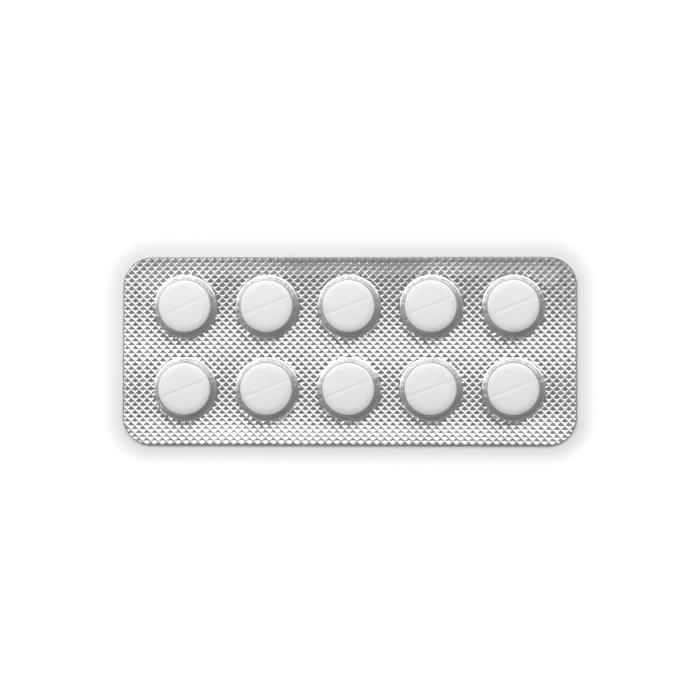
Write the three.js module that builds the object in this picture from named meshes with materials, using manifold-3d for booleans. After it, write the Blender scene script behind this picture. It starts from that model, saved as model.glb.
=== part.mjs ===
// A blister pack of scored tablets, lying foil side down with its pockets up.
//
// Three kinds of piece make the real pack. A clear forming film has round pockets drawn up
// out of it, a tablet lies in each pocket, and a thin aluminium lidding foil is heat-sealed
// under the film. The sealing tool leaves a net of fine diagonal ridges in the foil, and its
// recesses leave the foil smooth under the pockets.
//
// Millimetres, +Z up. X runs along the card and Y across it. The origin is the middle of the
// card, on the face that it rests on.

import * as THREE from "three";
import { mergeVertices, toCreasedNormals } from "three/addons/utils/BufferGeometryUtils.js";
import Module from "manifold-3d";

const wasm = await Module();
wasm.setup();

// Tablet
const TABLET_DIAMETER = 10.6;
const TABLET_BAND = 2.6; // height of the straight side
const TABLET_BEVEL_RISE = 0.35; // the sloping edge of each face, in height
const TABLET_BEVEL_RUN = 0.55; // and in width
const TABLET_CROWN = 0.2; // how far each face domes above its bevel
const SCORE_WIDTH = 1;
const SCORE_DEPTH = 0.25;
const SCORE_ANGLES = [25, 22, 22, 21, 23, 22, 21, 22, 20, 21]; // degrees, row by row

// Pockets
const POCKET_COLUMNS = 5;
const POCKET_ROWS = 2;
const POCKET_PITCH_ALONG = 17;
const POCKET_PITCH_ACROSS = 17.1;
const SIDE_CLEARANCE = 0.2; // tablet's side to the pocket's wall, at the ceiling
const TOP_CLEARANCE = 0.3; // tablet's crown to the pocket's ceiling
const POCKET_DRAFT = 0.62; // how much wider the pocket is at its mouth, in radius
const SHOULDER_RADIUS = 0.55; // inside, where the wall meets the ceiling
const FOOT_BEVEL = 0.25; // outside, where the wall meets the flat film

// Card
const END_MARGIN = 13; // outer pocket's axis to the short edge
const NEAR_MARGIN = 11.6; // lower row's axis to the long edge at -Y
const FAR_MARGIN = 10.3; // upper row's axis to the long edge at +Y
const CORNER_RADIUS = 6;

// Sheets
const FILM_THICKNESS = 0.25;
const POCKET_WALL = 0.2; // the film is drawn thinner there
const FOIL_THICKNESS = 0.03;
const NET_HEIGHT = 0.1; // from the smooth foil up to the ridges
const NET_PITCH = 1.17; // ridge to ridge, square to the ridges
const PIT_FLOOR = 0.01; // lowest point of a pit above the smooth foil
const SEAL_GAP = 0.01; // the heat-seal lacquer between ridges and film
const SEAL_MARGIN = 0.1; // smooth foil past the pocket's mouth
const REST_GAP = 0.02; // under each tablet

// How finely round forms are faceted
const POCKET_SEGMENTS = 24;
const TABLET_SEGMENTS = 24;
const CORNER_SEGMENTS = 6;
const CREASE_ANGLE = THREE.MathUtils.degToRad(50); // sharper edges than this stay hard

// Worked out from the sizes above
const cardLength = (POCKET_COLUMNS - 1) * POCKET_PITCH_ALONG + 2 * END_MARGIN;
const cardWidth = (POCKET_ROWS - 1) * POCKET_PITCH_ACROSS + NEAR_MARGIN + FAR_MARGIN;
const ridgeLevel = FOIL_THICKNESS + NET_HEIGHT;
const filmBottom = ridgeLevel + SEAL_GAP;
const filmTop = filmBottom + FILM_THICKNESS;

const tabletRadius = TABLET_DIAMETER / 2;
const tabletHeight = TABLET_BAND + 2 * TABLET_BEVEL_RISE + 2 * TABLET_CROWN;
const tabletBottom = FOIL_THICKNESS + REST_GAP;

const ceiling = tabletBottom + tabletHeight + TOP_CLEARANCE;
const ceilingRadius = tabletRadius + SIDE_CLEARANCE;
const mouthRadius = ceilingRadius + POCKET_DRAFT;
const sealRadius = mouthRadius + POCKET_WALL + FOOT_BEVEL + SEAL_MARGIN;

// The middle of each pocket, row by row from +Y, each row from -X.
const pocketCentres = [];
for (let row = 0; row < POCKET_ROWS; row++) {
  for (let column = 0; column < POCKET_COLUMNS; column++) {
    const x = END_MARGIN - cardLength / 2 + column * POCKET_PITCH_ALONG;
    const y = cardWidth / 2 - FAR_MARGIN - row * POCKET_PITCH_ACROSS;
    pocketCentres.push(new THREE.Vector2(x, y));
  }
}

// A closed geometry as a solid that can be cut and joined.
function solidFrom(geometry) {
  const loose = geometry.index ? geometry.toNonIndexed() : geometry;
  const bare = new THREE.BufferGeometry();
  bare.setAttribute("position", loose.getAttribute("position"));
  const merged = mergeVertices(bare, 1e-4);
  const triangles = [];
  for (let i = 0; i < merged.index.count; i += 3) {
    const corners = [0, 1, 2].map((k) => merged.index.getX(i + k));
    if (new Set(corners).size === 3) triangles.push(...corners);
  }
  return new wasm.Manifold(
    new wasm.Mesh({
      numProp: 3,
      vertProperties: new Float32Array(merged.getAttribute("position").array),
      triVerts: new Uint32Array(triangles),
    }),
  );
}

function geometryFrom(solid) {
  const mesh = solid.getMesh();
  const points = [];
  for (let i = 0; i < mesh.numVert; i++) {
    points.push(...mesh.vertProperties.subarray(i * mesh.numProp, i * mesh.numProp + 3));
  }
  const geometry = new THREE.BufferGeometry();
  geometry.setAttribute("position", new THREE.Float32BufferAttribute(points, 3));
  geometry.setIndex(new THREE.BufferAttribute(mesh.triVerts, 1));
  return toCreasedNormals(geometry, CREASE_ANGLE);
}

// A profile of [radius, height] points, from axis to axis, turned about Z.
function turned(profile, segments) {
  const lathe = new THREE.LatheGeometry(profile, segments);
  lathe.rotateX(Math.PI / 2);
  return solidFrom(lathe);
}

// The card's outline as a plate between two heights.
function cardPlate(bottom, top) {
  const x = cardLength / 2;
  const y = cardWidth / 2;
  const r = CORNER_RADIUS;
  const outline = new THREE.Shape();
  outline.absarc(x - r, y - r, r, 0, Math.PI / 2);
  outline.absarc(r - x, y - r, r, Math.PI / 2, Math.PI);
  outline.absarc(r - x, r - y, r, Math.PI, 1.5 * Math.PI);
  outline.absarc(x - r, r - y, r, 1.5 * Math.PI, 2 * Math.PI);
  const plate = new THREE.ExtrudeGeometry(outline, {
    depth: top - bottom,
    bevelEnabled: false,
    curveSegments: CORNER_SEGMENTS,
  });
  plate.translate(0, 0, bottom);
  return solidFrom(plate);
}

// A block whose top is the sealing net. Ridge crossings and pit floors take turns on a grid,
// and each grid cell is folded along the ridge between its two crossings, so four cells make
// one square pit that stands on its corner. The step is fitted to the card, so that a whole
// number of half diagonals runs along and across it. It reaches one step past the card, and
// a pit that the smooth round under a pocket would cut stays level with the ridges.
function netBlock() {
  const halfDiagonal = NET_PITCH / Math.SQRT2;
  const columns = Math.round(cardLength / halfDiagonal);
  const rows = Math.round(cardWidth / halfDiagonal);
  const point = (i, j) => (i + 1) * (rows + 3) + j + 1;
  const positions = [];
  const index = [];
  for (let i = -1; i <= columns + 1; i++) {
    for (let j = -1; j <= rows + 1; j++) {
      const x = (i / columns - 0.5) * cardLength;
      const y = (j / rows - 0.5) * cardWidth;
      const isFloor = (i + j) % 2 !== 0 && clearOfPockets(x, y, sealRadius + halfDiagonal);
      positions.push(x, y, isFloor ? FOIL_THICKNESS + PIT_FLOOR : ridgeLevel);
    }
  }
  for (let i = -1; i <= columns; i++) {
    for (let j = -1; j <= rows; j++) {
      const corners = [point(i, j), point(i + 1, j), point(i + 1, j + 1), point(i, j + 1)];
      const [a, b, c, d] = (i + j) % 2 === 0 ? corners : [...corners.slice(1), corners[0]];
      index.push(a, b, c, a, c, d);
    }
  }

  // A point far below closes the block. The rim is joined to it edge by edge.
  const under = positions.length / 3;
  positions.push(0, 0, -cardLength);
  const rim = [];
  for (let i = -1; i <= columns; i++) rim.push(point(i, -1));
  for (let j = -1; j <= rows; j++) rim.push(point(columns + 1, j));
  for (let i = columns + 1; i > -1; i--) rim.push(point(i, rows + 1));
  for (let j = rows + 1; j > -1; j--) rim.push(point(-1, j));
  rim.forEach((corner, k) => index.push(rim[(k + 1) % rim.length], corner, under));

  const block = new THREE.BufferGeometry();
  block.setAttribute("position", new THREE.Float32BufferAttribute(positions, 3));
  block.setIndex(index);
  return solidFrom(block);
}

function clearOfPockets(x, y, distance) {
  return pocketCentres.every((centre) => Math.hypot(x - centre.x, y - centre.y) > distance);
}

// The lidding foil: the net over the whole card, and a smooth round under each pocket. The
// ridges stand on a flat underside, so the sheet is solid up to them.
function makeFoil() {
  const top = ridgeLevel + NET_HEIGHT;
  const recess = turned(
    [
      new THREE.Vector2(0, FOIL_THICKNESS),
      new THREE.Vector2(sealRadius, FOIL_THICKNESS),
      new THREE.Vector2(sealRadius, top),
      new THREE.Vector2(0, top),
    ],
    POCKET_SEGMENTS,
  );
  let foil = netBlock().intersect(cardPlate(0, top));
  for (const { x, y } of pocketCentres) {
    foil = foil.subtract(recess.translate([x, y, 0]));
  }
  return geometryFrom(foil);
}

// The pocket's outer skin, from inside the flat film up over its ceiling.
function pocketOutside() {
  const shoulder = SHOULDER_RADIUS + POCKET_WALL;
  const foot = mouthRadius + POCKET_WALL;
  const top = ceiling + POCKET_WALL;
  const profile = new THREE.Path();
  profile.moveTo(0, filmBottom + FILM_THICKNESS / 2);
  profile.lineTo(foot + FOOT_BEVEL, filmBottom + FILM_THICKNESS / 2);
  profile.lineTo(foot + FOOT_BEVEL, filmTop);
  profile.lineTo(foot, filmTop + FOOT_BEVEL);
  profile.absarc(ceilingRadius - SHOULDER_RADIUS, top - shoulder, shoulder, 0, Math.PI / 2);
  profile.lineTo(0, top);
  return turned(profile.getPoints(1), POCKET_SEGMENTS);
}

// The hollow that the tablet lies in, open through the flat film.
function pocketInside() {
  const bend = mouthRadius + FOOT_BEVEL;
  const profile = new THREE.Path();
  profile.moveTo(0, filmBottom - FILM_THICKNESS);
  profile.lineTo(bend, filmBottom - FILM_THICKNESS);
  profile.lineTo(bend, filmBottom);
  profile.lineTo(mouthRadius, filmTop);
  profile.absarc(
    ceilingRadius - SHOULDER_RADIUS,
    ceiling - SHOULDER_RADIUS,
    SHOULDER_RADIUS,
    0,
    Math.PI / 2,
  );
  profile.lineTo(0, ceiling);
  return turned(profile.getPoints(1), POCKET_SEGMENTS);
}

// The forming film: one clear sheet with every pocket drawn up out of it.
function makeFilm() {
  const outside = pocketOutside();
  const inside = pocketInside();
  let film = cardPlate(filmBottom, filmTop);
  for (const { x, y } of pocketCentres) {
    film = film.add(outside.translate([x, y, 0])).subtract(inside.translate([x, y, 0]));
  }
  return geometryFrom(film);
}

// One tablet, standing on z = 0 with its score along X.
function makeTablet() {
  const flat = tabletRadius - TABLET_BEVEL_RUN;
  const shoulder = TABLET_CROWN + TABLET_BEVEL_RISE;
  const profile = [
    new THREE.Vector2(0, 0),
    new THREE.Vector2(flat, TABLET_CROWN),
    new THREE.Vector2(tabletRadius, shoulder),
    new THREE.Vector2(tabletRadius, tabletHeight - shoulder),
    new THREE.Vector2(flat, tabletHeight - TABLET_CROWN),
    new THREE.Vector2(0, tabletHeight),
  ];
  const groove = new THREE.Shape([
    new THREE.Vector2(-SCORE_WIDTH, SCORE_DEPTH),
    new THREE.Vector2(0, -SCORE_DEPTH),
    new THREE.Vector2(SCORE_WIDTH, SCORE_DEPTH),
  ]);
  const cutter = new THREE.ExtrudeGeometry(groove, {
    depth: 2 * TABLET_DIAMETER,
    bevelEnabled: false,
  });
  cutter.translate(0, 0, -TABLET_DIAMETER);
  cutter.rotateX(Math.PI / 2);
  cutter.rotateZ(Math.PI / 2);
  cutter.translate(0, 0, tabletHeight);
  return geometryFrom(turned(profile, TABLET_SEGMENTS).subtract(solidFrom(cutter)));
}

const filmMaterial = new THREE.MeshStandardMaterial({
  color: 0xeef1f4,
  roughness: 0.08,
  metalness: 0,
  transparent: true,
  opacity: 0.25,
});
const foilMaterial = new THREE.MeshStandardMaterial({
  color: 0xc6c8cc,
  roughness: 0.22,
  metalness: 1,
  flatShading: true,
});
const tabletMaterial = new THREE.MeshStandardMaterial({ color: 0xf3f2ee, roughness: 0.75, metalness: 0 });

const pack = new THREE.Group();

const foil = new THREE.Mesh(makeFoil(), foilMaterial);
foil.name = "lidding_foil";
pack.add(foil);

const tabletGeometry = makeTablet();
pocketCentres.forEach((centre, i) => {
  const tablet = new THREE.Mesh(tabletGeometry, tabletMaterial);
  tablet.name = `tablet_${i + 1}`;
  tablet.position.set(centre.x, centre.y, tabletBottom);
  tablet.rotation.z = THREE.MathUtils.degToRad(SCORE_ANGLES[i % SCORE_ANGLES.length]);
  pack.add(tablet);
});

const film = new THREE.Mesh(makeFilm(), filmMaterial);
film.name = "forming_film";
pack.add(film);

export default pack;
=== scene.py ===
# %% [markdown]
# # A blister pack of tablets
#
# The pack lies on its foil with the pockets up. It has three kinds of piece: a thin foil that
# is embossed with a net, a clear film with ten drawn pockets, and a tablet in each pocket.
# The solids of the frame already have the right sizes and places. Each one is replaced here
# by a finer piece of the same size, because the look of this object lies in details that are
# smaller than a millimetre: the net, the round bends of the film and the powdery tablets.

import math

import bmesh
import bpy
from mathutils import Matrix, Vector


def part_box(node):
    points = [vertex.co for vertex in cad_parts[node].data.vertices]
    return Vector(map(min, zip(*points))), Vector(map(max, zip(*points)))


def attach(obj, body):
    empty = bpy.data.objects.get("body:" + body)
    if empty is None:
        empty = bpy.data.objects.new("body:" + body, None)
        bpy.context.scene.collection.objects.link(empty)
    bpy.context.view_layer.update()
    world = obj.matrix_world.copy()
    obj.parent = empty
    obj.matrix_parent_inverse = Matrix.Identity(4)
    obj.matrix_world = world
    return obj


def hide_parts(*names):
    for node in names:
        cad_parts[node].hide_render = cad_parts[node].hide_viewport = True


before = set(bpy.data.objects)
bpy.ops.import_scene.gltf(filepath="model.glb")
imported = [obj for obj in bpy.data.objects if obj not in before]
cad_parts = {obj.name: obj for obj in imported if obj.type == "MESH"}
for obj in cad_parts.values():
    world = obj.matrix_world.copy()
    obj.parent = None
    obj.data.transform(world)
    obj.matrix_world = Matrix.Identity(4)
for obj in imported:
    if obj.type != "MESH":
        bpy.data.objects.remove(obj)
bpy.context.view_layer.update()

# %% [markdown]
# Blender works in metres, and this object is measured in millimetres. `MM` turns one into the
# other, so a size can be written as 0.25 * MM. The card's outline, the height of each sheet
# and the middle of each pocket are read from the frame, so that nothing is measured twice.

# %% Sizes that the pieces share
MM = 0.001
CORNER_RADIUS = 6 * MM

foil_low, foil_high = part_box("lidding_foil")
film_low, film_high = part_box("forming_film")
card_length = foil_high.x - foil_low.x
card_width = foil_high.y - foil_low.y

tablet_names = [name for name in sorted(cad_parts) if name.startswith("tablet_")]
tablet_boxes = {name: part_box(name) for name in tablet_names}
pocket_middles = [(low.xy + high.xy) / 2 for low, high in tablet_boxes.values()]
columns_at = sorted({round(middle.x, 6) for middle in pocket_middles})
rows_at = sorted({round(middle.y, 6) for middle in pocket_middles})
column_pitch = columns_at[1] - columns_at[0]
row_pitch = rows_at[1] - rows_at[0]
print(len(columns_at), "by", len(rows_at), "pockets")
print("they are", round(column_pitch / MM, 2), "by", round(row_pitch / MM, 2), "mm apart")

# %% [markdown]
# Each finished piece is turned from a bmesh into an object in the same way. The corners
# between faces are smoothed where they are shallow and kept where they are sharp. The piece
# then rides on the pack's one body, stands for its solid and names its finish.


# %% A helper that finishes a piece
def finish_piece(shape, name, material, node, crease_degrees=40):
    mesh = bpy.data.meshes.new(name)
    for face in shape.faces:
        face.smooth = True
    for edge in shape.edges:
        if len(edge.link_faces) == 2 and edge.calc_face_angle(0) > math.radians(crease_degrees):
            edge.smooth = False
    shape.to_mesh(mesh)
    shape.free()
    mesh.materials.append(material)
    piece = bpy.data.objects.new(name, mesh)
    bpy.context.collection.objects.link(piece)
    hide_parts(node)
    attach(piece, "root")
    return piece


# %% [markdown]
# ## The camera
#
# The photograph looks down with a long lens: opposite edges of the card stay parallel. Each
# tablet's top sits a little to the left of and above the middle of its pocket's foot, so the
# camera leans a few degrees from straight above, to the right and towards the near edge. The
# distance follows from how much of the picture the card fills.

# %% Camera
PHOTO_SIDE = 700  # pixels, as are the next two
CARD_LENGTH_SEEN = 454.5
CARD_MIDDLE_SEEN = (349.25, 351.25)  # from the upper left corner
LEAN_RIGHT = math.radians(4)
LEAN_NEAR = math.radians(2.5)
LENS = 200  # millimetres, as is the sensor's width
SENSOR = 36

camera_data = bpy.data.cameras.new("overhead_camera")
camera_data.lens = LENS
camera_data.sensor_width = SENSOR
camera_data.clip_start = 0.01
camera_data.clip_end = 20
camera = bpy.data.objects.new("overhead_camera", camera_data)
bpy.context.collection.objects.link(camera)
bpy.context.scene.camera = camera

view_width = card_length * PHOTO_SIDE / CARD_LENGTH_SEEN
distance = view_width * LENS / SENSOR
aim_x, aim_y = (0.5 - pixels / PHOTO_SIDE for pixels in CARD_MIDDLE_SEEN)
backwards = Vector((math.sin(LEAN_RIGHT), -math.sin(LEAN_NEAR), 1)).normalized()
right = (Vector((1, 0, 0)) - backwards * backwards.x).normalized()
turn = Matrix((right, backwards.cross(right), backwards)).transposed()
camera.rotation_euler = turn.to_euler()
camera.location = Vector((aim_x, -aim_y, 0)) * view_width + backwards * distance
print("the camera is", round(distance, 3), "m away and sees", round(view_width, 4), "m")

# %% [markdown]
# ## Shader maths that reads as Python
#
# A material is a graph of nodes. Wrapping an output socket in a small class lets `a * 2 + b`
# add its Math nodes by itself. Every other kind of node comes from one method, which sets
# the node's settings first and then its inputs.


# %% A class that wraps a socket
class Wire:
    def __init__(self, socket):
        self.socket = socket

    def node(self, kind, settings=None, inputs=None, output=0):
        tree = self.socket.id_data
        made = tree.nodes.new(kind)
        for key, value in (settings or {}).items():
            setattr(made, key, value)
        for key, value in (inputs or {}).items():
            if isinstance(value, Wire):
                tree.links.new(value.socket, made.inputs[key])
            else:
                made.inputs[key].default_value = value
        return Wire(made.outputs[output])

    def maths(self, operation, *values):
        return self.node("ShaderNodeMath", {"operation": operation}, dict(enumerate(values)))

    def __add__(self, other):
        return self.maths("ADD", self, other)

    def __sub__(self, other):
        return self.maths("SUBTRACT", self, other)

    def __rsub__(self, other):
        return self.maths("SUBTRACT", other, self)

    def __mul__(self, other):
        return self.maths("MULTIPLY", self, other)

    __radd__ = __add__
    __rmul__ = __mul__


# %% [markdown]
# A new material starts with the one thing that its patterns need, Object coordinates, which
# are in metres and measured from the middle of the card. It ends with one shader, or a mix of
# two, that is sent to the output.


# %% Helpers that start and end a material
def new_material(name):
    """An empty material, and a wire that carries Object coordinates."""
    material = bpy.data.materials.new(name)
    material.use_nodes = True
    material.node_tree.nodes.clear()
    coordinates = material.node_tree.nodes.new("ShaderNodeTexCoord")
    return material, Wire(coordinates.outputs["Object"])


def mix_shaders(share, without, full):
    """One shader where the share is 0 and another where it is 1."""
    return share.node("ShaderNodeMixShader", inputs={0: share, 1: without, 2: full})


def show(shader, output="ShaderNodeOutputMaterial"):
    """Sends a shader to the output of its material or world."""
    tree = shader.socket.id_data
    tree.links.new(shader.socket, tree.nodes.new(output).inputs["Surface"])


# %% [markdown]
# ## Light and floor
#
# The foil is a mirror broken into thousands of small facets, so it mostly shows what the
# studio looks like from its place. One large soft light stands behind the far edge and leans
# over the card. The slopes that face it turn white, and the slopes that face the dim room
# turn dark grey. The same light models the tablets and drops a soft shadow at the near edge.

# %% Soft light
SOFTBOX_DISTANCE = 0.55
SOFTBOX_FROM_ZENITH = math.radians(42)
SOFTBOX_AROUND = math.radians(12)  # turned from the far side towards the left
SOFTBOX_SIZE = (1.4, 0.58)
SOFTBOX_RADIANCE = 2.2

softbox_data = bpy.data.lights.new("softbox", "AREA")
softbox_data.shape = "RECTANGLE"
softbox_data.size, softbox_data.size_y = SOFTBOX_SIZE
softbox_data.energy = SOFTBOX_RADIANCE * math.pi * SOFTBOX_SIZE[0] * SOFTBOX_SIZE[1]
softbox = bpy.data.objects.new("softbox", softbox_data)
softbox.visible_camera = False
bpy.context.collection.objects.link(softbox)
towards_softbox = Vector(
    (
        -math.sin(SOFTBOX_AROUND) * math.sin(SOFTBOX_FROM_ZENITH),
        math.cos(SOFTBOX_AROUND) * math.sin(SOFTBOX_FROM_ZENITH),
        math.cos(SOFTBOX_FROM_ZENITH),
    )
)
softbox.location = towards_softbox * SOFTBOX_DISTANCE
softbox.rotation_euler = towards_softbox.to_track_quat("Z", "Y").to_euler()
print("the softbox gives", round(softbox_data.energy, 2), "W")

# %% [markdown]
# The room is a plain dim grey, with a white wall all round it that reaches a little above the
# horizon. The camera, bright metal and clear film see the wall, so the background stays pale
# from any side, but it sheds no light on matt surfaces. The ceiling over the card stays dim,
# because a white one would turn the level parts of the foil white.

# %% Room
WHITE = (1, 1, 1, 1)
ROOM_GREY = 0.28
WALL_TOP = 0.3  # sine of the angle above the horizon at which the wall ends


def seen_by_eye_or_mirror(tree):
    """1 for rays from the camera, from a mirror or through clear film, and 0 for the rest."""
    path = tree.nodes.new("ShaderNodeLightPath").outputs
    eye = Wire(path["Is Camera Ray"])
    mirror = Wire(path["Is Glossy Ray"])
    film = Wire(path["Is Transmission Ray"])
    return eye.maths("MAXIMUM", eye, mirror.maths("MAXIMUM", mirror, film))


world = bpy.data.worlds.new("studio")
world.use_nodes = True
bpy.context.scene.world = world
world_tree = world.node_tree
world_tree.nodes.clear()
direction = Wire(world_tree.nodes.new("ShaderNodeTexCoord").outputs["Generated"])
height = direction.node("ShaderNodeSeparateXYZ", inputs={0: direction}, output="Z")
seen = seen_by_eye_or_mirror(world_tree) * height.maths("LESS_THAN", height, WALL_TOP)
dim_room = seen.node("ShaderNodeBackground", inputs={"Color": WHITE, "Strength": ROOM_GREY})
white_wall = seen.node("ShaderNodeBackground", inputs={"Color": WHITE, "Strength": 1})
show(mix_shaders(seen, dim_room, white_wall), "ShaderNodeOutputWorld")
print("the wall ends", round(math.degrees(math.asin(WALL_TOP)), 1), "degrees above the horizon")

# %% [markdown]
# The floor is white paper. Right beside the card it is all lit paper, which keeps the thin
# soft shadow at the card's edge. Half a centimetre farther out what is seen is a white glow
# of its own, as in a photograph on a light table. The glow is seen by the camera, by metal and
# through film, and sheds no light on the object. The distance is measured from the card's
# outline, so that the change from the one to the other is even all round.

# %% The floor's paper
PAPER_WHITE = 0.83
PAPER_GLOW = 1.02
GLOW_STARTS, GLOW_FULL = 0.3 * MM, 5 * MM  # from the card's edge


def smooth_rise(value, start, end):
    """0 up to the start, 1 past the end, and a smooth rise between."""
    inputs = {"Value": value, "From Min": start, "From Max": end}
    return value.node("ShaderNodeMapRange", {"interpolation_type": "SMOOTHSTEP"}, inputs)


def from_inner_card(place):
    """Distance from the card less a corner radius all round; the outline is at that radius."""
    inner = Vector((card_length, card_width, 0)) / 2 - Vector((1, 1, 0)) * CORNER_RADIUS
    size = place.node("ShaderNodeVectorMath", {"operation": "ABSOLUTE"}, {0: place})
    past = size.node("ShaderNodeVectorMath", {"operation": "SUBTRACT"}, {0: size, 1: inner})
    past = past.node("ShaderNodeVectorMath", {"operation": "MAXIMUM"}, {0: past, 1: (0, 0, 0)})
    flat = past.node("ShaderNodeVectorMath", {"operation": "MULTIPLY"}, {0: past, 1: (1, 1, 0)})
    return flat.node("ShaderNodeVectorMath", {"operation": "LENGTH"}, {0: flat}, "Value")


paper, place = new_material("white_paper")
away = from_inner_card(place)
glow_share = smooth_rise(away, CORNER_RADIUS + GLOW_STARTS, CORNER_RADIUS + GLOW_FULL)
lit_white = (PAPER_WHITE, PAPER_WHITE, PAPER_WHITE, 1)
lit_paper = place.node("ShaderNodeBsdfDiffuse", inputs={"Color": lit_white})
glow = place.node("ShaderNodeEmission", inputs={"Color": WHITE, "Strength": PAPER_GLOW})
show(mix_shaders(seen_by_eye_or_mirror(paper.node_tree) * glow_share, lit_paper, glow))
print("made", paper.name)

# %% [markdown]
# The sheet of paper itself is one large square face. It lies a hundredth of a millimetre
# under the foil, so that the two never share a plane. It belongs to the studio and not to the
# object.

# %% Floor
FLOOR_SIZE = 6
FLOOR_GAP = 0.01 * MM

floor_shape = bmesh.new()
bmesh.ops.create_grid(floor_shape, x_segments=1, y_segments=1, size=FLOOR_SIZE / 2)
bmesh.ops.translate(floor_shape, verts=floor_shape.verts, vec=(0, 0, foil_low.z - FLOOR_GAP))
floor_mesh = bpy.data.meshes.new("floor")
floor_shape.to_mesh(floor_mesh)
floor_shape.free()
floor_mesh.materials.append(paper)
floor = bpy.data.objects.new("floor", floor_mesh)
bpy.context.collection.objects.link(floor)
print("the floor is", FLOOR_SIZE, "m wide")

# %% [markdown]
# ## The foil's finish
#
# The foil has two kinds of surface. Between the pockets it is sealed to the film and carries
# the net. Under each pocket it is a smooth round that isn't sealed. The finish has to know
# which is which, so it works out how far each point lies from the nearest pocket's axis. The
# pockets stand in rows and columns, so the nearest one is found by rounding, without a search.

# %% Where the foil is sealed
ROUND_RADIUS = 6.5 * MM
SEAL_BLUR = 0.1 * MM  # to either side of the round's rim


def from_nearest_pocket(place):
    """Distances from the nearest pocket's axis, from between the rows and from the mid-length."""
    across = place.node("ShaderNodeSeparateXYZ", inputs={0: place}, output="Y") - sum(rows_at) / 2
    along = place.node("ShaderNodeSeparateXYZ", inputs={0: place}, output="X")
    off_row = across.maths("ABSOLUTE", across) - row_pitch / 2
    off_middle = along.maths("ABSOLUTE", along)
    column = off_middle.maths("ROUND", off_middle * (1 / column_pitch))
    last_column = len(columns_at) // 2
    off_column = off_middle - column.maths("MINIMUM", column, last_column) * column_pitch
    from_axis = off_row.maths("SQRT", off_row * off_row + off_column * off_column)
    return from_axis, across, off_middle


foil_finish, place = new_material("bright_foil")
from_pocket, across, off_middle = from_nearest_pocket(place)
sealed = smooth_rise(from_pocket, ROUND_RADIUS - SEAL_BLUR, ROUND_RADIUS + SEAL_BLUR)
print("the foil is sealed from", round(ROUND_RADIUS / MM, 2), "mm off each pocket's axis")

# %% [markdown]
# A real card is never flat: it curls up towards its long edges and less so at its ends, each
# row of pockets pulls the foil down, and the sheet drifts by a degree or two from place to
# place. That decides where the net looks bright. The curl and the drift are bumps with real
# heights, because so thin a sheet can't bend in its mesh without leaving the film. The curl
# is given by its slopes, from which the height is worked out, and the drift is a soft noise.

# %% The curl of the sealed foil
LEAN = 0.014  # slope towards the far edge, half way across, in radians
EDGE_CURL = 0.205  # more slope at each long edge, rising with the third power
CURL_LOST_AT_ENDS = 0.35  # share of the edge curl that is gone at the card's short ends
BETWEEN_ROWS = 0.039  # more slope half way between the rows
ROW_PULL = 0.04  # less slope at each row, and more between them
DRIFT_HEIGHT = 0.6 * MM
DRIFT_SIZE = 20 * MM


def noise(place, size, detail, roughness):
    inputs = {"Vector": place, "Scale": 1 / size, "Detail": detail, "Roughness": roughness}
    return place.node("ShaderNodeTexNoise", inputs=inputs)


def bump(height, strength=1.0, over=None):
    """Normals of a surface that is raised by the height, on top of another bump."""
    inputs = {"Strength": strength, "Distance": 1.0, "Height": height}
    if over:
        inputs["Normal"] = over
    return height.node("ShaderNodeBump", inputs=inputs)


squared = across * across
fades = 1 - (off_middle * off_middle) * (CURL_LOST_AT_ENDS / (card_length / 2) ** 2)
curl = squared * squared * (EDGE_CURL / 4 / (card_width / 2) ** 3) * fades - across * LEAN
for slope, waves_per_row in ((BETWEEN_ROWS, 0.5), (ROW_PULL, 1)):
    per_metre = 2 * math.pi * waves_per_row / row_pitch
    curl = curl - across.maths("SINE", across * per_metre) * (slope / per_metre)
drift = noise(place, DRIFT_SIZE, detail=1, roughness=0.4) * DRIFT_HEIGHT
curled = bump(curl + drift, sealed)
print("the long edges curl up by", round(math.degrees(EDGE_CURL), 1), "degrees")

# %% [markdown]
# Under a pocket the foil bulges up a little instead and rolls over more steeply at the rim.
# So its far side faces the light and its near side faces away, which makes the pocket's ring
# light at the top and dark at the bottom. Fine creases lie over the sealed foil.

# %% The bulge under each pocket, and the creases
BULGE_SLOPE = 0.03  # rises evenly towards the rim of the round
RIM_SLOPE = 0.15  # comes on top, mostly in the last half millimetre before the rim
RIM_POWER = 16
CREASE_HEIGHT = 0.004 * MM
CREASE_SIZE = 1.6 * MM

rim = from_pocket.maths("POWER", from_pocket * (1 / ROUND_RADIUS), RIM_POWER)
bulge = from_pocket * from_pocket * (-BULGE_SLOPE / 2 / ROUND_RADIUS)
bulge = bulge + rim * (-RIM_SLOPE * ROUND_RADIUS / RIM_POWER)
bulged = bump(bulge, 1 - sealed, over=curled)
creases = noise(place, CREASE_SIZE, detail=3, roughness=0.6)
creased = bump(creases * sealed * CREASE_HEIGHT, over=bulged)
print("the rim of each round slopes by", round(math.degrees(BULGE_SLOPE + RIM_SLOPE), 1), "degrees")

# %% [markdown]
# Bright rolled aluminium is a metal with little roughness. The creases make it a little
# duller from place to place. The rounds are rougher than the sealed foil, and darker, as they
# are in the photograph: that darker colour is painted shade, standing in for the tablet's shade.

# %% Foil material
FOIL_DARK, FOIL_LIGHT = (0.57, 0.565, 0.585), (0.68, 0.675, 0.69)
# painted shade: the darker colour of the foil under each pocket stands in for the tablet's shade
ROUND_PAINTED_SHADE = (0.44, 0.44, 0.45)
FOIL_ROUGHNESS = 0.06
CREASE_ROUGHNESS = 0.1
ROUND_ROUGHNESS = 0.32


def blend(share, without, full):
    """One colour where the share is 0 and another where it is 1."""
    colours = [colour if isinstance(colour, Wire) else (*colour, 1) for colour in (without, full)]
    inputs = {0: share, 6: colours[0], 7: colours[1]}
    return share.node("ShaderNodeMix", {"data_type": "RGBA"}, inputs, output=2)


# the rounds take the painted shade; the sealed foil takes a tone that varies with the creases
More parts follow.
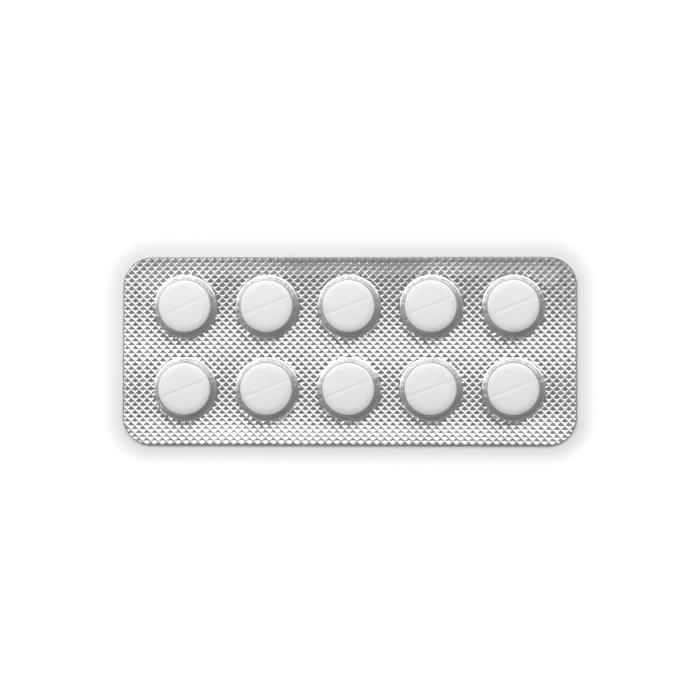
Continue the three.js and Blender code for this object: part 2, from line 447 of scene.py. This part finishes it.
foil_tone_and_round_shade = blend(sealed, ROUND_PAINTED_SHADE, blend(creases, FOIL_DARK, FOIL_LIGHT))
roughness = creases * CREASE_ROUGHNESS + (1 - sealed) * ROUND_ROUGHNESS + FOIL_ROUGHNESS
foil_look = {"Base Color": foil_tone_and_round_shade, "Metallic": 1.0, "Roughness": roughness, "Normal": creased}
show(place.node("ShaderNodeBsdfPrincipled", inputs=foil_look))
print("made", foil_finish.name)

# %% [markdown]
# ## The foil
#
# The sealing tool presses small square pits into the foil. They stand on their corners and
# leave a net of narrow ridges between them. One grid holds them all: three of its steps reach
# from the crossing of two ridges to the middle of the next pit. The first step falls steeply
# and the others hardly at all, which gives each pit a broad flat floor. The round under a
# pocket has no pits, and the tablet's weight presses a shallow dent into its middle. Points
# of the grid that lie close to the rim of a round are pulled onto it, so the rim is round.

# %% The height of the net
NET_PITCH = 1.17 * MM
STEPS_PER_HALF_DIAGONAL = 3
PIT_PROFILE = (0, 0.8, 1, 1)  # depth after each step from a ridge to the pit's middle
FOIL_THICKNESS = 0.03 * MM
PIT_CLEARANCE = 0.01 * MM  # height of a pit's floor over the dents
SMOOTH_RADIUS = 6.55 * MM
SMOOTH_EDGE = 0.05 * MM  # over which the pits fade in, outside the smooth round
RIM_REACH = 0.6  # share of a step within which a point is pulled onto the rim
DENT_RADIUS = 4.4 * MM
DENT_EDGE = 0.3 * MM

dent_level = foil_low.z + FOIL_THICKNESS
pit_floor = dent_level + PIT_CLEARANCE
columns = round(card_length / (NET_PITCH / math.sqrt(2)))
rows = round(card_width / (NET_PITCH / math.sqrt(2)))


def eased(value, start, end):
    """0 before start, 1 after end, and a smooth rise between."""
    share = min(max((value - start) / (end - start), 0), 1)
    return share * share * (3 - 2 * share)


def emboss(point):
    """Gives a point of the level grid its height, and pulls it onto a rim that is near."""
    along = (point.x - foil_low.x) / card_length * columns
    up = (point.y - foil_low.y) / card_width * rows
    falls = []
    for ridges in ((along + up) / 2, (along - up) / 2):
        from_ridge = 2 * abs(ridges - round(ridges))
        falls.append(PIT_PROFILE[round(from_ridge * STEPS_PER_HALF_DIAGONAL)])
    pit = (min(falls) + falls[0] * falls[1]) / 2  # the product rounds the pit's corners
    middle = min(pocket_middles, key=lambda middle: (point.xy - middle).length)
    out = point.xy - middle
    if abs(out.length - SMOOTH_RADIUS) < RIM_REACH * card_width / rows / STEPS_PER_HALF_DIAGONAL:
        point.xy = middle + out.normalized() * SMOOTH_RADIUS
    pit *= eased(out.length, SMOOTH_RADIUS, SMOOTH_RADIUS + SMOOTH_EDGE)
    net = foil_high.z + (pit_floor - foil_high.z) * pit
    out_of_dent = eased(out.length, DENT_RADIUS, DENT_RADIUS + DENT_EDGE)
    point.z = dent_level + (net - dent_level) * out_of_dent


print("the net has", columns, "by", rows, "half diagonals")

# %% [markdown]
# The corners of the card are round. A plane that touches the corner's arc cuts off what lies
# outside it, and a fan of such planes leaves an arc of short straight cuts. Only the faces
# near that corner are offered to each cut, which keeps it quick. Their edges and corners are
# offered once each and in a fixed order, so that every run of the script gives the same foil.
# A Python set would put them in another order each time, and the keys of a dict do not.

# %% Helpers that round the card's corners
CORNER_MARGIN = 1 * MM  # round the square that holds a corner's arc


def once_each(items):
    """The items without doubles, in the order in which they come."""
    return list(dict.fromkeys(items))


def with_edges_and_corners(faces):
    edges = once_each(edge for face in faces for edge in face.edges)
    corners = once_each(vert for face in faces for vert in face.verts)
    return [*faces, *edges, *corners]


def round_corners(shape, cuts=10):
    inner_x, inner_y = card_length / 2 - CORNER_RADIUS, card_width / 2 - CORNER_RADIUS
    low_x, low_y = inner_x - CORNER_MARGIN, inner_y - CORNER_MARGIN
    for side_x in (-1, 1):
        for side_y in (-1, 1):
            middle = Vector((side_x * inner_x, side_y * inner_y, 0))
            for cut in range(cuts):
                angle = (cut + 0.5) / cuts * math.pi / 2
                outwards = Vector((side_x * math.cos(angle), side_y * math.sin(angle), 0))
                near = [
                    face
                    for face in shape.faces
                    if any(side_x * v.co.x > low_x and side_y * v.co.y > low_y for v in face.verts)
                ]
                bmesh.ops.bisect_plane(
                    shape,
                    geom=with_edges_and_corners(near),
                    plane_co=middle + outwards * CORNER_RADIUS,
                    plane_no=outwards,
                    clear_outer=True,
                )


# %% [markdown]
# The foil starts as one level grid. The dent under each tablet is plain, so the small faces
# there are dissolved into one. The other faces are split along their shorter diagonal, which
# is the level one, so that every ridge runs straight along its splits. Solidify then gives
# the sheet its real thickness downwards, so the net shows on the underside too, as it does on
# a real pack.

# %% Make the foil
foil_shape = bmesh.new()
bmesh.ops.create_grid(
    foil_shape,
    x_segments=columns * STEPS_PER_HALF_DIAGONAL,
    y_segments=rows * STEPS_PER_HALF_DIAGONAL,
    size=0.5,
    matrix=Matrix.Diagonal((card_length, card_width, 1, 1)),
)
for vert in foil_shape.verts:
    emboss(vert.co)
for middle in pocket_middles:
    plain = [
        face
        for face in foil_shape.faces
        if all((v.co.xy - middle).length < DENT_RADIUS for v in face.verts)
    ]
    bmesh.ops.dissolve_faces(foil_shape, faces=plain)
small = [face for face in foil_shape.faces if len(face.verts) == 4]
bmesh.ops.triangulate(foil_shape, faces=small, quad_method="SHORT_EDGE")
round_corners(foil_shape)
foil = finish_piece(
    foil_shape, "embossed_foil", foil_finish, "lidding_foil", crease_degrees=22
)
sheet = foil.modifiers.new("foil_thickness", "SOLIDIFY")
sheet.thickness = FOIL_THICKNESS
sheet.offset = -1
print("the foil's top has", len(foil.data.polygons), "faces")

# %% [markdown]
# ## The film's finish
#
# Clear PVC sheet is thin and hardly bends light, so it needs no refraction: light goes
# straight through, and each surface adds a mirror image that is faint from the front and
# strong at a slant. A see-through shader mixed with a glossy one does this, and unlike real
# refraction it lets the soft light reach the tablets and the foil. The share of the glossy
# one is Schlick's rule on Facing, which is the same from both sides of a surface. The Fresnel
# node is not, and would turn the film's inner side into a mirror for slanting light. Where
# the sheet bends sharply, at a pocket's foot, the real one acts as a lens and shows the room
# rather than the foil behind it, so it mirrors more there and draws a fine line. A thin band
# along the card's cut edge is mixed towards a dull dark grey.

# %% Film material
CLEAR_TINT = (0.995, 0.996, 0.997, 1)
EDGE_BAND_TONE = (0.16, 0.16, 0.17, 1)
FILM_ROUGHNESS = 0.06
HEAD_ON_GLOSS = 0.035
SCHLICK_POWER = 5
BEND_RADIUS = 6.47 * MM  # the middle of a pocket's round foot
BEND_FULL, BEND_ENDS = 0.08 * MM, 0.2 * MM  # to either side of that middle
BEND_SHARE = 0.3
EDGE_BAND_WIDTH = 0.12 * MM
EDGE_BAND_SHARE = 0.45

film_finish, place = new_material("clear_film")
clear = place.node("ShaderNodeBsdfTransparent", inputs={"Color": CLEAR_TINT})
gloss_look = {"Color": WHITE, "Roughness": FILM_ROUGHNESS}
gloss = place.node("ShaderNodeBsdfAnisotropic", inputs=gloss_look)
slant = place.node("ShaderNodeLayerWeight", inputs={"Blend": 0.5}, output="Facing")
mirror_share = slant.maths("POWER", slant, SCHLICK_POWER) * (1 - HEAD_ON_GLOSS) + HEAD_ON_GLOSS
off_bend = from_nearest_pocket(place)[0] - BEND_RADIUS
bend = 1 - smooth_rise(off_bend.maths("ABSOLUTE", off_bend), BEND_FULL, BEND_ENDS)
mirror_share = mirror_share.maths("MAXIMUM", mirror_share, bend * BEND_SHARE)
away = from_inner_card(place)
# a thin band along the card's outline is mixed towards a dull dark grey
edge_band = away.maths("GREATER_THAN", away, CORNER_RADIUS - EDGE_BAND_WIDTH) * EDGE_BAND_SHARE
edge_band_look = place.node("ShaderNodeBsdfDiffuse", inputs={"Color": EDGE_BAND_TONE})
show(mix_shaders(edge_band, mix_shaders(mirror_share, clear, gloss), edge_band_look))
print("made", film_finish.name)

# %% [markdown]
# ## The film
#
# A heated sheet is drawn up into ten round pockets. Seen in section, a pocket has a small
# round foot, a wall that leans in a little so that it leaves the mould, a round shoulder and
# a level ceiling. That section is drawn once as a few points and spun about the pocket's
# axis. Flat film is then filled in between the card's outline and the ten feet.

# %% The section of a pocket
FILM_THICKNESS = 0.25 * MM
FOOT_RADIUS = 0.3 * MM
SHOULDER_RADIUS = 0.75 * MM
CEILING_RADIUS = 5.75 * MM
MOUTH_RADIUS = 6.32 * MM
SHOULDER_RUN = 0.1 * MM  # from the end of the shoulder's arc to a ring on the level ceiling

flange_top = film_low.z + FILM_THICKNESS


def arc(middle, radius, start, end, steps):
    """Points on part of a circle, with the angles in degrees."""
    angles = [start + (end - start) * k / steps for k in range(steps + 1)]
    return [
        (middle[0] + radius * math.cos(angle), middle[1] + radius * math.sin(angle))
        for angle in map(math.radians, angles)
    ]


lean = math.degrees(math.atan2(MOUTH_RADIUS - CEILING_RADIUS, film_high.z - flange_top))
foot_middle = (MOUTH_RADIUS + FOOT_RADIUS, flange_top + FOOT_RADIUS)
shoulder_middle = (CEILING_RADIUS - SHOULDER_RADIUS, film_high.z - SHOULDER_RADIUS)
section = [
    *arc(foot_middle, FOOT_RADIUS, 270, 180 + lean, steps=5),
    *arc(shoulder_middle, SHOULDER_RADIUS, lean, 90, steps=8),
    (shoulder_middle[0] - SHOULDER_RUN, film_high.z),
    (0, film_high.z),
]
print("the walls lean", round(lean, 1), "degrees over", len(section), "points")

# %% [markdown]
# `spin` turns a section right round and joins its two ends. Every pocket has the same number
# of steps as the round hole in the flat film, so the two weld point to point. The tablets are
# spun by the same helper later on.

# %% Helpers that spin a section and lay flat film round the pockets
SPIN_STEPS = 72


def spun(shape, section, middle):
    """Adds a section, given as (distance from the axis, height), turned about a middle."""
    verts = [shape.verts.new((middle.x + r, middle.y, z)) for r, z in section]
    edges = [shape.edges.new(pair) for pair in zip(verts, verts[1:])]
    bmesh.ops.spin(
        shape,
        geom=[*verts, *edges],
        cent=(middle.x, middle.y, 0),
        axis=(0, 0, 1),
        angle=2 * math.pi,
        steps=SPIN_STEPS,
        use_merge=True,
    )


def flat_film(shape, height, hole_radius):
    """Fills the card's outline at one height, with a round hole at each pocket."""
    loops = []
    for middle in pocket_middles:
        place_hole = Matrix.Translation((middle.x, middle.y, height))
        ring = bmesh.ops.create_circle(
            shape, segments=SPIN_STEPS, radius=hole_radius, matrix=place_hole
        )
        loops += once_each(edge for vert in ring["verts"] for edge in vert.link_edges)
    outline = []
    inner_x, inner_y = card_length / 2 - CORNER_RADIUS, card_width / 2 - CORNER_RADIUS
    for quarter, (side_x, side_y) in enumerate(((1, 1), (-1, 1), (-1, -1), (1, -1))):
        start = 90 * quarter
        middle = (side_x * inner_x, side_y * inner_y)
        outline += arc(middle, CORNER_RADIUS, start, start + 90, steps=12)
    verts = [shape.verts.new((x, y, height)) for x, y in outline]
    loops += [shape.edges.new((a, b)) for a, b in zip(verts, verts[1:] + verts[:1])]
    bmesh.ops.triangle_fill(shape, use_beauty=True, edges=loops, normal=(0, 0, 1))


print("each pocket has", SPIN_STEPS, "steps round its axis")

# %% [markdown]
# The flat film and the pockets are made as one upper face. Where they meet, doubled points
# are merged, and then the normals are recalculated and turned up. Solidify gives the sheet
# its thickness downwards and inwards, with an even offset, so that the walls keep it too.

# %% Make the film
MERGE_DISTANCE = 0.01 * MM

film_shape = bmesh.new()
flat_film(film_shape, flange_top, section[0][0])
for middle in pocket_middles:
    spun(film_shape, section, middle)
bmesh.ops.remove_doubles(film_shape, verts=film_shape.verts, dist=MERGE_DISTANCE)
bmesh.ops.recalc_face_normals(film_shape, faces=film_shape.faces)
if sum(face.normal.z * face.calc_area() for face in film_shape.faces) < 0:
    bmesh.ops.reverse_faces(film_shape, faces=film_shape.faces)
open_edges = sum(edge.is_boundary for edge in film_shape.edges)
film = finish_piece(film_shape, "clear_film", film_finish, "forming_film")
wall = film.modifiers.new("film_thickness", "SOLIDIFY")
wall.thickness = FILM_THICKNESS
wall.offset = -1
wall.use_even_offset = True
print("the film has", len(film.data.polygons), "faces and", open_edges, "edges on its outline")

# %% [markdown]
# ## The tablets' finish
#
# An uncoated tablet is pressed powder: matt, slightly warm white, with a very fine grain and
# a soft mottling. Two noises make these. The grain also raises the surface by a few
# thousandths of a millimetre and changes its roughness.

# %% Tablet material
POWDER_DARK, POWDER_LIGHT = (0.87, 0.858, 0.843), (0.96, 0.948, 0.933)
GRAIN_SIZE = 0.12 * MM
GRAIN_HEIGHT = 0.006 * MM
MOTTLE_SIZE = 2.2 * MM
GRAIN_SHARE = 0.5  # of the grain in the tone; the rest is mottling
POWDER_ROUGHNESS, GRAIN_ROUGHNESS = 0.6, 0.2
POWDER_GLOSS = 0.3

tablet_finish, place = new_material("pressed_powder")
grain = noise(place, GRAIN_SIZE, detail=4, roughness=0.6)
mottle = noise(place, MOTTLE_SIZE, detail=2, roughness=0.5)
lightness = grain * GRAIN_SHARE + mottle * (1 - GRAIN_SHARE)
powder_look = {
    "Base Color": blend(lightness, POWDER_DARK, POWDER_LIGHT),
    "Roughness": grain * GRAIN_ROUGHNESS + POWDER_ROUGHNESS,
    "Specular IOR Level": POWDER_GLOSS,
    "Normal": bump(grain * GRAIN_HEIGHT),
}
show(place.node("ShaderNodeBsdfPrincipled", inputs=powder_look))
print("made", tablet_finish.name)

# %% [markdown]
# ## The tablets
#
# A tablet press makes a short cylinder whose faces have a bevel at the rim and a low dome
# inside it. Half of its outline is drawn as a few points and spun like the pockets' section.

# %% The section of a tablet
TABLET_RADIUS = 5.3 * MM
TABLET_HEIGHT = 3.7 * MM
BEVEL_RISE = 0.35 * MM
BEVEL_RUN = 0.55 * MM
CROWN = 0.2 * MM
DOME_RINGS = 6


def tablet_section(low, high):
    """Half the outline of a tablet, from the middle of its underside to the top."""
    face = TABLET_RADIUS - BEVEL_RUN
    radii = [face * k / DOME_RINGS for k in range(DOME_RINGS + 1)]
    dome = [(r, CROWN * (1 - (r / face) ** 2)) for r in radii]
    under = [(r, low + CROWN - rise) for r, rise in dome]
    over = [(r, high - CROWN + rise) for r, rise in reversed(dome)]
    side = [(TABLET_RADIUS, low + CROWN + BEVEL_RISE), (TABLET_RADIUS, high - CROWN - BEVEL_RISE)]
    return [*under, *side, *over]


print("the tablets are", round(TABLET_HEIGHT / MM, 2), "mm thick")

# %% [markdown]
# The score line is a shallow groove with a soft bottom, and it follows the dome from rim to
# rim. Planes parallel to the score cut the upper face into narrow strips first, so that the
# groove's points can be lowered without dragging the rest of the face. Each point is lowered
# from where it lies. A cut that passes very close to a point leaves slivers, which are merged
# or dissolved before that.

# %% A helper that cuts the score line
SCORE_WIDTH = 1.2 * MM
SCORE_DEPTH = 0.08 * MM
SCORE_CUTS = (-1, -0.6, -0.25, 0, 0.25, 0.6, 1)  # places of the cuts, in half widths
SCORE_SHARPNESS = 0.3  # 0 gives a round bottom, and more gives one that comes to a point
SLIVER = 0.02 * MM  # points closer than this are merged
NO_LENGTH = 0.002 * MM  # edges shorter than this are dissolved


def score_fall(off):
    """How far a point is lowered, at a share of the groove's half width from its middle."""
    fall = 1 - eased(off, -SCORE_SHARPNESS, 1)
    return SCORE_DEPTH * fall / (1 - eased(0, -SCORE_SHARPNESS, 1))


def cut_score(shape, middle, top, degrees):
    sideways = Vector((-math.sin(math.radians(degrees)), math.cos(math.radians(degrees)), 0))
    half = SCORE_WIDTH / 2
    lowest = top - 2 * BEVEL_RISE  # what lies under this is no part of the upper face
    for share in SCORE_CUTS:
        upper = [face for face in shape.faces if face.calc_center_median().z > lowest]
        bmesh.ops.bisect_plane(
            shape,
            geom=with_edges_and_corners(upper),
            dist=SLIVER,
            plane_co=middle.to_3d() + sideways * half * share,
            plane_no=sideways,
        )
    bmesh.ops.remove_doubles(shape, verts=shape.verts, dist=SLIVER)
    bmesh.ops.dissolve_degenerate(shape, edges=shape.edges, dist=NO_LENGTH)
    for vert in shape.verts:
        off = abs((vert.co - middle.to_3d()).dot(sideways)) / half
        if off < 1 and vert.co.z > lowest:
            vert.co.z -= score_fall(off)


print("the score is", round(SCORE_WIDTH / MM, 2), "by", round(SCORE_DEPTH / MM, 2), "mm")

# %% [markdown]
# All ten tablets are made alike and lie at slightly different angles, as the photograph
# shows. They are numbered row by row. The score of a tablet's solid cuts off the top of its
# dome, so only the middle and the underside are read from the solid, and the height is given.

# %% Make the tablets
SCORE_ANGLES = [25, 22, 22, 21, 23, 22, 21, 22, 20, 21]  # degrees from the card's length
POLE_DISTANCE = 0.001 * MM  # within which points on the axis are merged

open_edges = 0
by_number = sorted(tablet_names, key=lambda name: int(name.split("_")[1]))
for name, degrees in zip(by_number, SCORE_ANGLES):
    low, high = tablet_boxes[name]
    middle = (low.xy + high.xy) / 2
    top = low.z + TABLET_HEIGHT
    shape = bmesh.new()
    spun(shape, tablet_section(low.z, top), middle)
    bmesh.ops.remove_doubles(shape, verts=shape.verts, dist=POLE_DISTANCE)
    bmesh.ops.recalc_face_normals(shape, faces=shape.faces)
    cut_score(shape, middle, top, degrees)
    open_edges += sum(not edge.is_manifold for edge in shape.edges)
    finish_piece(shape, "pressed_" + name, tablet_finish, name, crease_degrees=30)
print("made", len(tablet_names), "tablets with", open_edges, "open edges")

# %% [markdown]
# ## Colour
#
# The picture uses Blender's Standard view, so a colour is shown about as it is written.

# %% Finish
bpy.context.scene.view_settings.view_transform = "Standard"
